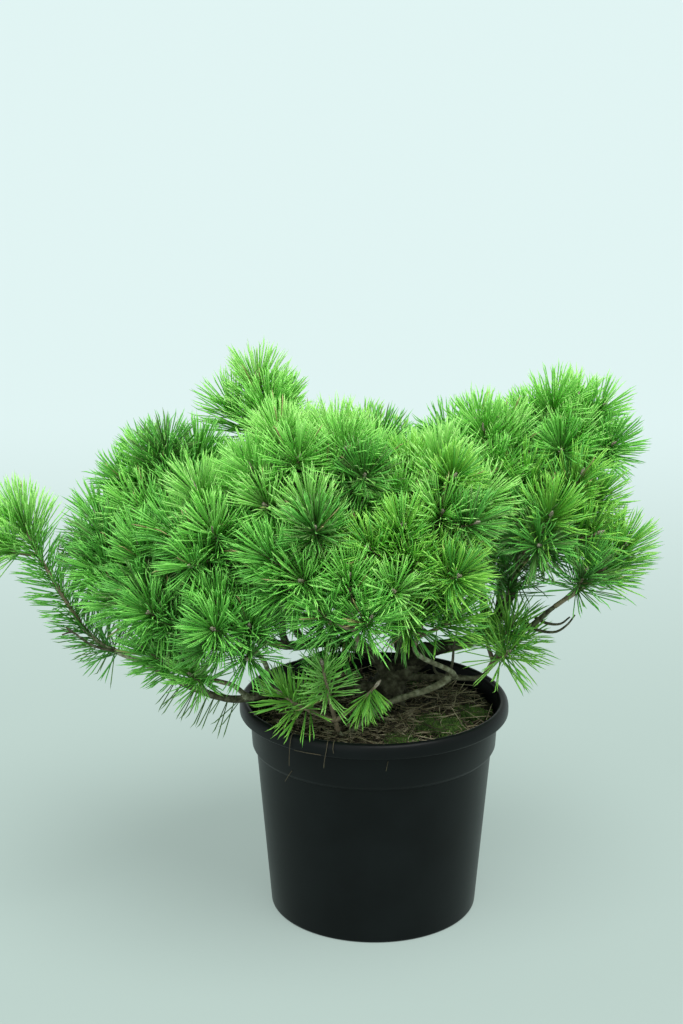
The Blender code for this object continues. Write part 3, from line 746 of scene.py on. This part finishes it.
def make_litter(rng, looks):
    """Fallen needles that lie on the soil, a few that hang over the front of the lip, and moss."""
    for name, count in (("litter_tan", 1000), ("litter_brown", 1200)):
        reach = SOIL_RIM * np.sqrt(rng.uniform(0.0, 0.96, count))
        a = rng.uniform(0.0, 2 * math.pi, count)
        x, y = reach * np.cos(a), reach * np.sin(a)
        z = soil_height(reach) + rng.uniform(0.0010, 0.0050, count)
        turn = rng.uniform(0.0, 2 * math.pi, count)
        pitch = rng.normal(0.03, 0.09, count)
        ways = np.stack([np.cos(turn) * np.cos(pitch), np.sin(turn) * np.cos(pitch), np.sin(pitch)], 1)
        lengths = rng.uniform(0.022, 0.055, count)
        roots = np.stack([x, y, z], 1)
        tips = roots + ways * lengths[:, None]
        keep = np.hypot(tips[:, 0], tips[:, 1]) < SOIL_RIM + 0.002
        bends = rng.normal(0.0, 0.0012, (count, 3)) * [1.0, 1.0, 0.3]
        points, triangles = spikes(roots[keep], ways[keep], lengths[keep], 0.00062, bends[keep])
        piece(name, points, triangles, looks[name])
    strands = []
    for x, drop, lean in HANGING:
        y = -math.sqrt(LIP_RADIUS**2 - x**2)
        out = np.array([x, y, 0.0]) / LIP_RADIUS
        knees = [np.array([x, y, POT_HEIGHT]) - out * 0.020 - UP * 0.004,
                 np.array([x, y, POT_HEIGHT + 0.0016]) - out * 0.004,
                 np.array([x, y, POT_HEIGHT - 0.006]) + out * 0.0012,
                 np.array([x + lean, y, POT_HEIGHT - drop]) + out * 0.0022]
        strands.append(tube(smooth(knees, unit(knees[1] - knees[0]), -UP, 14), np.linspace(0.0005, 0.0004, 15), 5))
    for ends in SCRAPS:
        line = []
        for x, z in ends:
            face = np.interp(z, [BAND_FOOT, LIP_FOOT - 0.001, LIP_FOOT], [BAND_RADIUS, BAND_TOP_RADIUS, LIP_RADIUS])
            line.append([x, -math.sqrt((face + 0.0007) ** 2 - x**2), z])
        strands.append(tube(np.array(line), np.full(len(line), 0.00042), 5))
    points, triangles = joined(strands)
    piece("hanging_needles", points, triangles, looks["litter_brown"])
    roots = []
    for bearing, reach, size, count in MOSS:
        centre = reach * np.array([math.cos(math.radians(bearing)), math.sin(math.radians(bearing))])
        spot = centre + rng.normal(0.0, size, (count, 2))
        spot = spot[np.hypot(spot[:, 0], spot[:, 1]) < SOIL_RIM - 0.002]
        roots.append(np.column_stack([spot, soil_height(np.hypot(spot[:, 0], spot[:, 1])) + 0.0002]))
    roots = np.vstack(roots)
    ways = rng.normal(0.0, 0.35, roots.shape) + UP
    ways /= np.linalg.norm(ways, axis=1)[:, None]
    points, triangles = spikes(roots, ways, rng.uniform(0.004, 0.0085, len(roots)), 0.0008, np.zeros(roots.shape))
    piece("moss", points, triangles, looks["moss"])


def make_limbs(looks):
    """The trunk and all boughs as one skin, swollen at the foot and where limbs part, with bark relief."""
    lines, radii, _ = bough_lines(FINER)
    tubes = []
    for name, line in lines.items():
        tubes.append(tube(line, radii[name], 14))
    foot = lines["trunk"][0]
    for k in range(FLARES):
        a = 2 * math.pi * (k + 0.3) / FLARES
        out = np.array([math.cos(a), math.sin(a), 0.0])
        knees = [foot + UP * 0.022 + out * 0.010, foot + out * 0.026 + UP * 0.006, foot + out * 0.042 - UP * 0.003]
        tubes.append(tube(smooth(knees, unit(out - UP), unit(out - 0.4 * UP), 8), np.linspace(0.012, 0.004, 9), 10))
    points, triangles = joined(tubes)
    limbs = piece("bark_limbs", points, triangles, looks["bark"])
    skin = limbs.modifiers.new("skin", 'REMESH')
    skin.mode = 'VOXEL'
    skin.voxel_size = BARK_VOXEL
    ease = limbs.modifiers.new("ease", 'SMOOTH')
    ease.factor = 0.5
    ease.iterations = 3
    apply_modifiers(limbs)
    tree = kdtree.KDTree(sum(len(line) for line in lines.values()))
    thick = []
    kinds = []
    for name, line in lines.items():
        for point, radius in zip(line, radii[name]):
            tree.insert(point, len(thick))
            thick.append(radius)
            kinds.append(LIMB_LOOKS.get(name, int(np.searchsorted(BARK_MARKS, -radius))))
    tree.balance()
    limbs.data.update()
    normals = np.empty(3 * len(limbs.data.vertices), np.float32)
    limbs.data.vertices.foreach_get("normal", normals)
    normals = normals.reshape(-1, 3)
    for v, normal in zip(limbs.data.vertices, normals):
        size = thick[tree.find(v.co)[1]]
        cells = noise.voronoi(Vector((v.co.x, v.co.y, v.co.z * 0.6)) * 150.0)[0]
        plate = min(cells[1] - cells[0], 0.35) / 0.35
        rough = 0.5 * noise.noise(v.co * 260.0) + 0.5 * noise.noise(v.co * 90.0)
        deep = size * min(1.0, size / FULL_RELIEF)
        v.co += Vector(normal) * deep * (0.10 * plate - 0.06 + 0.09 * rough)
    limbs.data.materials.clear()
    for name in ("bark", "limb_bark", "young_bark"):
        limbs.data.materials.append(looks[name])
    for face in limbs.data.polygons:
        face.material_index = kinds[tree.find(face.center)[1]]
    limbs.data.shade_smooth()
    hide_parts("trunk", *["bough_" + row[0] for row in BOUGHS])
    return lines, radii


def bud(centre, way, length, radius):
    """An egg-shaped bud with a point, as points and triangles."""
    share = np.linspace(0.0, 1.0, 7)
    line = centre + way * (length * share)[:, None]
    radii = radius * np.sin(math.pi * np.clip(share * 0.93 + 0.09, 0.0, 1.0)) ** 0.7 * (1.0 - 0.35 * share)
    return tube(line, radii + 0.00008, 8)


def make_shoots(groups, looks, rng):
    """The shoots' own wood and the buds at their tips."""
    wood = []
    buds = []
    for shoots, thick in groups:
        for line in shoots:
            radii = np.interp(np.linspace(0.0, 1.0, len(line)), [0.0, 0.3, 1.0], [thick, thick * 0.85, thick * 0.62])
            wood.append(tube(line, radii, 7))
            way = heading(line, 1.0)
            buds.append(bud(line[-1] - way * 0.0010, way, rng.uniform(0.0090, 0.0130), 0.0025))
            side = unit(np.cross(way, UP) + 1e-6)
            over = np.cross(side, way)
            for k in range(rng.integers(2, 5)):
                a = GOLDEN * k + rng.uniform(0.0, 6.28)
                lean = unit(way + 0.75 * (math.cos(a) * side + math.sin(a) * over))
                buds.append(bud(line[-1] - way * 0.0012, lean, rng.uniform(0.0045, 0.0068), 0.0013))
    bare = []
    for knees in TWIGS:
        knees = [np.array(p) for p in knees]
        line = smooth(knees, unit(knees[1] - knees[0]), unit(knees[-1] - knees[-2]), 16)
        bare.append(tube(line, np.linspace(0.0022, 0.0010, len(line)), 7))
    points, triangles = joined(bare)
    piece("bare_twigs", points, triangles, looks["limb_bark"])
    points, triangles = joined(wood)
    twigs = piece("shoot_wood", points, triangles, looks["shoot_wood"])
    points, triangles = joined(buds)
    piece("buds", points, triangles, looks["buds"])
    return twigs


def shade_of(name, tip, rng):
    """A spray's painted light and shade: painted lighter at the top and the front, painted shade inside and low down.
    """
    low, high = CAD_BOX
    heart = np.array([(low[0] + high[0]) / 2, (low[1] + high[1]) / 2, 0.40])
    reach = (np.array(high) - np.array(low)) / 2
    out = np.linalg.norm((tip - heart) / np.array([reach[0], reach[1], 0.29]))
    bright = 0.10 + 0.85 * out + 0.50 * (tip[2] - 0.45) / 0.24 + GLOW.get(name, 0.0) + rng.normal(0.0, 0.15)
    return int(np.searchsorted(SHADE_MARKS, bright))


def make_needles(kept, finer, lines, looks, rng):
    """All live needles, dealt out by spray to one piece for each shade, most of them painted light and shade by the
    spray's place.
    """
    names = list(SHADES)
    heaps = {name: [] for name in names}

    def deal(shade, spray, warm=False):
        """A spray's needles, most in its own shade, some in the next deeper one and a few of them dry."""
        pick = rng.random(len(spray[0]))
        own = "needles_warm" if warm and shade in WARM_SHADES else names[shade]
        for heap, low, high in ((own, 0.0, OWN_SHADE), (names[max(0, shade - 1)], OWN_SHADE, DRY_FROM),
                                ("needles_dry", DRY_FROM, 1.0)):
            some = (pick >= low) & (pick < high)
            heaps[heap].append([v[some] for v in spray])

    for name, shoots in kept.items():
        for k, line in enumerate(shoots):
            start = LEADER_BARE if k == 0 else LATERAL_BARE
            length = NEEDLE * SHORT.get((name, k), SHORT.get(name, 1.0)) * rng.uniform(*SPRAY_LENGTH)
            density = DENSITY * THIN.get(name, 1.0) * rng.uniform(*SPRAY_DENSITY)
            rise = RISE
            if (name, k) in DROOPING:
                rise = DROOP
                start = DROOP_BARE
                length *= DROOP_SHORT
            if name in BRUSHES and k == 0:
                start = BRUSH_START
                old = needles_on(line, 0.0, BRUSH_DENSITY, NEEDLE * BRUSH_SHORT, rng, BRUSH_LEAN, BRUSH_START)
                deal(names.index("needles_mid"), old)
            leans = LEANS.get(name, (LEAN_LOW, LEAN_HIGH))
            spray = needles_on(line, start, density, length, rng, leans, CROWN_END, rise)
            deal(shade_of(name, line[-1], rng), spray, name in WARM)
    for name, shoots in finer.items():
        for line in shoots:
            length = NEEDLE * 0.92 * SHORT.get(name, 1.0) * rng.uniform(*SPRAY_LENGTH)
            density = DENSITY * rng.uniform(*SPRAY_DENSITY)
            # A finer shoot's needles are painted one shade deeper, sometimes two: painted shade inside the tufts.
            shade = max(1, shade_of(name, line[-1], rng) - 1 - int(rng.random() < SIDE_DEEPER))
            deal(shade, needles_on(line, SIDE_BARE, density, length, rng), name in WARM)
    for name, line in lines.items():
        if name in BRUSHES:
            deal(1, needles_on(line, BRUSH_LIMB, BRUSH_DENSITY, NEEDLE * BRUSH_SHORT, rng, BRUSH_LEAN))
            heaps["needles_old_and_painted_deep_shade"].append(needles_on(line, 0.40, HANG_DENSITY, NEEDLE * 0.8, rng, end=0.66, rise=DROOP))
        elif name != "trunk" and name not in OPEN and name not in SHORT:
            heaps["needles_old_and_painted_deep_shade"].append(needles_on(line, 0.82, OLD_DENSITY, NEEDLE * 0.92, rng, OLD_LEAN))
    made = []
    for name, heap in heaps.items():
        if not heap:
            continue
        roots, ways, lengths, bends = [np.concatenate(v) for v in zip(*heap)]
        for part, rows in enumerate(np.array_split(np.arange(len(roots)), math.ceil(len(roots) / MOST_NEEDLES))):
            points, triangles = spikes(roots[rows], ways[rows], lengths[rows], NEEDLE_RADIUS, bends[rows])
            made.append(piece(name + "_%d" % (part + 1), points, triangles, looks[name], False))
    return made


def make_looks():
    looks = {
        "pot": material("pot_plastic", [(0.0034, 0.0048, 0.0050), (0.0050, 0.0070, 0.0074)], 14.0, (0.30, 0.42),
                        0.10, 900.0, 0.13),
        "soil": material("soil", [(0.007, 0.006, 0.004), (0.024, 0.021, 0.012), (0.060, 0.053, 0.030)], 90.0,
                         (0.85, 1.0), 0.9, 500.0, 0.2),
        # The trunk's bark: dark as old bark, and darker still as painted shade under the crown.
        "bark": material("bark", [(0.015, 0.0150, 0.0085), (0.032, 0.031, 0.018), (0.066, 0.063, 0.039)], 160.0,
                         (0.78, 0.95), 0.8, 650.0, 0.2),
        "limb_bark": material("limb_bark", [(0.045, 0.044, 0.026), (0.090, 0.088, 0.054), (0.160, 0.160, 0.104)], 160.0,
                              (0.78, 0.95), 0.8, 650.0, 0.2),
        "young_bark": material("young_bark", [(0.125, 0.124, 0.072), (0.240, 0.243, 0.150), (0.380, 0.392, 0.262)], 160.0,
                               (0.78, 0.95), 0.8, 650.0, 0.3),
        "shoot_wood": material("shoot_wood", [(0.17, 0.135, 0.085), (0.32, 0.26, 0.17)], 120.0, (0.7, 0.9), 0.5,
                               900.0, 0.3),
        "buds": material("buds", [(0.26, 0.20, 0.15), (0.52, 0.46, 0.38)], 500.0, (0.6, 0.8), 0.5, 1400.0, 0.3),
        "litter_tan": material("litter_tan", [(0.28, 0.235, 0.130), (0.56, 0.50, 0.33)], 60.0, (0.6, 0.8)),
        "litter_brown": material("litter_brown", [(0.042, 0.034, 0.018), (0.13, 0.105, 0.058)], 60.0, (0.7, 0.9)),
        "moss": material("moss", [(0.035, 0.085, 0.013), (0.10, 0.20, 0.032)], 120.0, (0.8, 1.0)),
    }
    for name, (dark, light) in SHADES.items():
        looks[name] = material(name, [dark, light], 45.0, (0.40, 0.55), specular=0.30)
    return looks


def sweep(near, far):
    """The floor's surface, which turns from its near colour to its far one with the distance behind the pot, and glows
    in that colour as painted light that lifts the shadows on it.
    """
    made = bpy.data.materials.new("floor")
    made.use_nodes = True
    nodes = made.node_tree.nodes
    links = made.node_tree.links
    shader = nodes["Principled BSDF"]
    shader.inputs["Specular IOR Level"].default_value = 0.0
    shader.inputs["Roughness"].default_value = 1.0
    where = nodes.new("ShaderNodeTexCoord")
    apart = nodes.new("ShaderNodeSeparateXYZ")
    reach = nodes.new("ShaderNodeMapRange")
    reach.interpolation_type = 'SMOOTHSTEP'
    reach.inputs["From Min"].default_value = FLOOR_TURN[0]
    reach.inputs["From Max"].default_value = FLOOR_TURN[1]
    ramp = nodes.new("ShaderNodeValToRGB")
    for stop, colour in zip(ramp.color_ramp.elements, (near, far)):
        stop.color = (*colour, 1.0)
    links.new(where.outputs["Object"], apart.inputs["Vector"])
    links.new(apart.outputs["Y"], reach.inputs["Value"])
    links.new(reach.outputs["Result"], ramp.inputs["Fac"])
    links.new(ramp.outputs["Color"], shader.inputs["Base Color"])
    links.new(ramp.outputs["Color"], shader.inputs["Emission Color"])
    shader.inputs["Emission Strength"].default_value = FLOOR_GLOW
    return made


def make_stage():
    """A pale floor that runs far back, soft lights and the camera."""
    bpy.ops.mesh.primitive_plane_add(size=600.0, location=(0.0, 0.0, 0.0))
    floor = bpy.context.object
    floor.name = "floor"
    floor.data.materials.append(sweep(*FLOOR_COLOURS))
    for name, at, size, power in LIGHTS:
        lamp = bpy.data.lights.new(name, 'SUN')
        lamp.angle = math.radians(size)
        lamp.energy = power
        light = bpy.data.objects.new(name, lamp)
        light.location = at
        light.rotation_euler = (Vector(LIT_POINT) - Vector(at)).to_track_quat('-Z', 'Y').to_euler()
        bpy.context.scene.collection.objects.link(light)
    world = bpy.data.worlds.new("studio")
    world.use_nodes = True
    nodes = world.node_tree.nodes
    back = nodes["Background"]
    back.inputs["Color"].default_value = WORLD_COLOUR
    back.inputs["Strength"].default_value = WORLD_LIGHT
    seen = nodes.new("ShaderNodeBackground")
    seen.inputs["Color"].default_value = WORLD_COLOUR
    seen.inputs["Strength"].default_value = WORLD_STRENGTH
    path = nodes.new("ShaderNodeLightPath")
    mix = nodes.new("ShaderNodeMixShader")
    links = world.node_tree.links
    links.new(path.outputs["Is Camera Ray"], mix.inputs["Fac"])
    links.new(back.outputs["Background"], mix.inputs[1])
    links.new(seen.outputs["Background"], mix.inputs[2])
    links.new(mix.outputs["Shader"], nodes["World Output"].inputs["Surface"])
    bpy.context.scene.world = world
    lens = bpy.data.cameras.new("camera")
    lens.lens = LENS
    lens.sensor_width = 36.0
    camera = bpy.data.objects.new("camera", lens)
    camera.location = CAMERA_AT
    camera.rotation_euler = (math.radians(90.0 - LOOK_DOWN), 0.0, 0.0)
    bpy.context.scene.collection.objects.link(camera)
    bpy.context.scene.camera = camera
    bpy.context.scene.view_settings.view_transform = 'Standard'


def build():
    looks = make_looks()
    make_stage()
    make_pot(looks["pot"])
    make_soil(looks["soil"])
    rng = np.random.default_rng(SEED)
    make_litter(rng, looks)
    lines, radii, masses = bough_lines()
    kept, tubes = kept_shoots(lines, radii, masses)
    finer = finer_shoots(lines, kept, tubes, np.random.default_rng(FINER_SEED))
    fine_lines, _ = make_limbs(looks)
    groups = [([line for s in kept.values() for line in s], TIP_RADIUS),
              ([line for s in finer.values() for line in s], TWIG_RADIUS * 0.75)]
    twigs = make_shoots(groups, looks, rng)
    foliage = ["foliage_" + row[0] for row in BOUGHS]
    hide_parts(*foliage)
    for made in make_needles(kept, finer, fine_lines, looks, rng):
        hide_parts(*foliage)


build()
